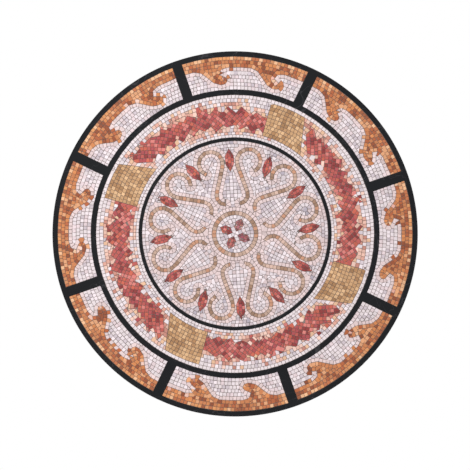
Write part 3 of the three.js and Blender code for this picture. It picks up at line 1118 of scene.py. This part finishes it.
def medallion_stones():
    """White stones of the rosette, even and warm ones along the strands and the eye."""
    rng = np.random.default_rng(SEED + 200)
    cut = cut_stones("medallion_ground", rng, medallion_rows)
    place = Heart(*middles(cut).T)
    round_eye = EYE_RING[1] + pitch()
    beside = (place.distance < STRAND_WIDTH / 2 + pitch()) | (place.radius < round_eye)
    dim = np.interp(place.radius, (round_eye, 100, 180, 200), (0.88, 1, 1, 0.96))
    tone = chosen(beside, side_row(cut, rng), toned("rosette", cut, rng) * dim[:, None])
    lay("white", "medallion_ground", cut, tone, rng, name="medallion_stones")


# From the top petal, anticlockwise.
PETAL_TINTS = ((1.15, 2.2, 2.4), (1.05, 1, 1), (1.05, 1.4, 1.45), (0.85, 1.15, 1.5))


def eye_stones():
    """The eye's ring, its four petals and the white stones between them."""
    rng = np.random.default_rng(SEED + 220)
    cut = cut_stones("eye_ring", rng, eye_ring_rows)
    lay("tan", "eye_ring", cut, toned("tan", cut, rng), rng)
    cut = cut_stones("eye_ground", rng, eye_ground_rows)
    lay("white", "eye_ground", cut, toned("rosette", cut, rng), rng)
    for k, tint in enumerate(PETAL_TINTS):
        angle = PETAL_ANGLE + 360 / PETAL_COUNT * k
        bud_stones(f"eye_petal_{k + 1}", (PETAL_RADIUS, angle, 0, PETAL_FILE), PETAL_STONE, rng, tint)


BAY_STEPS = 28  # steps of a ring between two bars
BAR_STEPS = 4  # steps of a ring across a bar's end
INNER_RING_STEPS = 192
RUBBED_EDGE = 0.7


def bay_angles(radius):
    """Angles round a circle, in degrees, that fall on both edges of every bar's end."""
    half = math.degrees(math.asin(BAR_WIDTH / 2 / radius))
    angles = []
    for k in range(BAR_COUNT):
        bar = BAR_ANGLE + k * 360 / BAR_COUNT
        bar_end, bay_end = bar + half, bar + 360 / BAR_COUNT - half
        angles += [*np.linspace(bar - half, bar_end, BAR_STEPS, endpoint=False)]
        angles += [*np.linspace(bar_end, bay_end, BAY_STEPS, endpoint=False)]
    return angles


def raise_lines(name, points, faces, node):
    """Raises flat faces to a smooth black strip with rubbed edges."""
    piece = new_object(name, points, faces)
    edit_faces()
    extrude(STONE_FRONT - STONE_BACK)
    bpy.ops.mesh.region_to_loop()
    bpy.ops.mesh.bevel(offset=RUBBED_EDGE * MM, segments=2, profile=0.6)
    end_edit()
    return finished(piece, black_marble(), "black_marble", node)


def flat_point(radius, angle):
    x, z = point_at(radius * MM, angle)
    return (x, STONE_BACK, z)


def frame_lines():
    """Outer ring, middle ring and bars, in one piece."""
    steps = BAY_STEPS + BAR_STEPS
    count = BAR_COUNT * steps
    low, high = WAVE_RADII
    points = []
    for radius, bar_end in ((PANEL_RADIUS, high), (high, high), (low, low), (MIDDLE_RING[0], low)):
        points += [flat_point(radius, angle) for angle in bay_angles(bar_end)]
    faces = []
    for n in range(count):
        after = (n + 1) % count
        for ring in (0, 2):
            outer, inner = ring * count, (ring + 1) * count
            faces.append((outer + n, outer + after, inner + after, inner + n))
        if n % steps < BAR_STEPS:
            faces.append((count + n, count + after, 2 * count + after, 2 * count + n))
    raise_lines("black_frame_strips", points, faces, "black_frame")


def inner_line():
    """The ring round the rosette."""
    count = INNER_RING_STEPS
    angles = np.linspace(0, 360, count, endpoint=False)
    points = [flat_point(radius, angle) for radius in INNER_RING[::-1] for angle in angles]
    faces = [(n, (n + 1) % count, count + (n + 1) % count, count + n) for n in range(count)]
    raise_lines("black_inner_ring_strip", points, faces, "black_inner_ring")


BED_SIDES = 256
BED_LAYERS = 5
GROUT_RADIUS = WAVE_RADII[1] + 2  # mortar fills the joints to just under the outer ring
RIM_WANDER = 0.9


def mortar_bed():
    """The cast bed: a flat back, a rough rim, and mortar up between the stones."""
    deselect_all()
    bpy.ops.mesh.primitive_circle_add(
        vertices=BED_SIDES, radius=BED_RADIUS * MM, fill_type="NGON",
        location=(0, BACK, 0), rotation=(math.pi / 2, 0, 0),
    )
    piece = bpy.context.object
    piece.name = piece.data.name = "cast_bed"
    bpy.ops.object.transform_apply(location=True, rotation=True, scale=True)
    edit_faces()
    for _ in range(BED_LAYERS):
        extrude((BED_FRONT - BACK) / BED_LAYERS)
    bpy.ops.mesh.inset(thickness=BED_RADIUS * MM - GROUT_RADIUS * MM)
    extrude(STONE_FRONT + sizes().grout_depth - BED_FRONT)
    end_edit()
    # The rim was struck off against a wooden ring: it waves in and out a little.
    rng = np.random.default_rng(SEED + 240)
    for vertex in piece.data.vertices:
        place = vertex.co
        if BED_FRONT + LEVEL * MM < place.y < BACK - LEVEL * MM:
            inward = 1 - rng.uniform(0, RIM_WANDER) * MM / math.hypot(place.x, place.z)
            place.x *= inward
            place.z *= inward
    finished(piece, cast_mortar(), "mortar", "setting_bed")


# ---- Stage ----

# In metres and watts.
CAMERA_DISTANCE = 8.0
CAMERA_OFFSET = (-0.0003, -0.003)
FRAME_WIDTH = 1.2864  # width of the view at the stone face
SENSOR_WIDTH = 36  # millimetres
FLOOR_SIZE = 3
FLOOR_DROP = 0.3  # the floor lies this far below the panel
ROOM_LIGHT = 0.6  # share of the white that the camera sees
LAMP_PLACE = (-2.2, -3.2, 2.6)
LAMP_SIZE = 2.5
LAMP_POWER = 165


def add_stage():
    """A pale floor, soft light from a white room and one large lamp, and the camera."""
    scene = bpy.context.scene
    deselect_all()
    bpy.ops.mesh.primitive_plane_add(size=FLOOR_SIZE, location=(0, 0, cad_box[0].z - FLOOR_DROP))
    floor = bpy.context.object
    floor.name = "floor"
    material, _ = new_material("pale_matt_floor")
    finish_material(material, {"Base Color": (*colours().floor, 1), "Roughness": 0.9})
    floor.data.materials.append(material)

    world = bpy.data.worlds.new("white_room")
    world.use_nodes = True
    # The wall behind is lit white for the camera; the room lights the panel less.
    tree = world.node_tree
    seen = add_node(tree, "ShaderNodeLightPath", {}).outputs["Is Camera Ray"]
    light = add_node(tree, "ShaderNodeMapRange", {"Value": seen, "To Min": ROOM_LIGHT, "To Max": 1.0})
    tree.nodes["Background"].inputs["Color"].default_value = (1, 1, 1, 1)
    tree.links.new(light.outputs["Result"], tree.nodes["Background"].inputs["Strength"])
    scene.world = world
    bpy.ops.object.light_add(type="AREA", location=LAMP_PLACE)
    lamp = bpy.context.object
    lamp.name = "soft_lamp"
    lamp.data.size = LAMP_SIZE
    lamp.data.energy = LAMP_POWER
    aim(lamp, (0, 0, 0))

    x, z = CAMERA_OFFSET
    bpy.ops.object.camera_add(location=(x, STONE_FRONT - CAMERA_DISTANCE, z))
    camera = bpy.context.object
    camera.rotation_euler = (math.pi / 2, 0, 0)
    camera.data.sensor_width = SENSOR_WIDTH
    camera.data.lens = SENSOR_WIDTH * CAMERA_DISTANCE / FRAME_WIDTH
    camera.data.clip_end = 50
    scene.camera = camera
    scene.view_settings.view_transform = "Standard"


def aim(thing, target):
    direction = Vector(target) - thing.location
    thing.rotation_euler = direction.to_track_quat("-Z", "Y").to_euler()


# ---- Operators, panel and registration ----


class MOSAIC_OT_bed(bpy.types.Operator):
    """Cast the mortar bed with its flat back"""

    bl_idname = "mosaic.bed"
    bl_label = "Mortar bed"

    def execute(self, context):
        mortar_bed()
        return {"FINISHED"}


class MOSAIC_OT_lines(bpy.types.Operator):
    """Set the smooth black rings and bars"""

    bl_idname = "mosaic.lines"
    bl_label = "Black lines"

    def execute(self, context):
        frame_lines()
        inner_line()
        return {"FINISHED"}


class MOSAIC_OT_waves(bpy.types.Operator):
    """Lay the eight wave panels of the border"""

    bl_idname = "mosaic.waves"
    bl_label = "Wave panels"

    def execute(self, context):
        for k in range(1, BAR_COUNT + 1):
            wave_stones(k)
        return {"FINISHED"}


class MOSAIC_OT_garlands(bpy.types.Operator):
    """Lay the laurel garlands, the ochre blocks and their ground"""

    bl_idname = "mosaic.garlands"
    bl_label = "Garland band"

    def execute(self, context):
        for k in range(1, BLOCK_COUNT + 1):
            block_stones(k)
            garland_stones(k)
        garland_ground_stones()
        return {"FINISHED"}


class MOSAIC_OT_rosette(bpy.types.Operator):
    """Lay the hearts, the buds and the white stones round them"""

    bl_idname = "mosaic.rosette"
    bl_label = "Rosette"

    def execute(self, context):
        for k in range(1, HEART_COUNT + 1):
            heart_stones(k)
        medallion_stones()
        return {"FINISHED"}


class MOSAIC_OT_eye(bpy.types.Operator):
    """Lay the eye at the centre"""

    bl_idname = "mosaic.eye"
    bl_label = "Eye"

    def execute(self, context):
        eye_stones()
        return {"FINISHED"}


class MOSAIC_OT_stage(bpy.types.Operator):
    """Set up the floor, the light and the camera"""

    bl_idname = "mosaic.stage"
    bl_label = "Stage"

    def execute(self, context):
        add_stage()
        return {"FINISHED"}


OPERATORS = (
    MOSAIC_OT_stage, MOSAIC_OT_bed, MOSAIC_OT_lines, MOSAIC_OT_waves,
    MOSAIC_OT_garlands, MOSAIC_OT_rosette, MOSAIC_OT_eye,
)


class MOSAIC_PT_panel(bpy.types.Panel):
    """Lists the settings and the steps"""

    bl_idname = "MOSAIC_PT_panel"
    bl_label = "Round mosaic panel"
    bl_space_type = "VIEW_3D"
    bl_region_type = "UI"
    bl_category = "Mosaic"

    def draw(self, context):
        for group in (context.scene.mosaic_sizes, context.scene.mosaic_colours):
            for name in group.bl_rna.properties.keys():
                if name not in ("name", "rna_type"):
                    self.layout.prop(group, name)
        for operator in OPERATORS:
            self.layout.operator(operator.bl_idname)


CLASSES = (StoneSizes, PanelColours, *OPERATORS, MOSAIC_PT_panel)


def register():
    for cls in CLASSES:
        bpy.utils.register_class(cls)
    bpy.types.Scene.mosaic_sizes = PointerProperty(type=StoneSizes)
    bpy.types.Scene.mosaic_colours = PointerProperty(type=PanelColours)


def unregister():
    del bpy.types.Scene.mosaic_colours
    del bpy.types.Scene.mosaic_sizes
    for cls in reversed(CLASSES):
        bpy.utils.unregister_class(cls)


def main():
    register()
    bpy.ops.mosaic.stage()
    bpy.ops.mosaic.bed()
    bpy.ops.mosaic.lines()
    bpy.ops.mosaic.waves()
    bpy.ops.mosaic.garlands()
    bpy.ops.mosaic.rosette()
    bpy.ops.mosaic.eye()


if __name__ == "__main__":
    main()
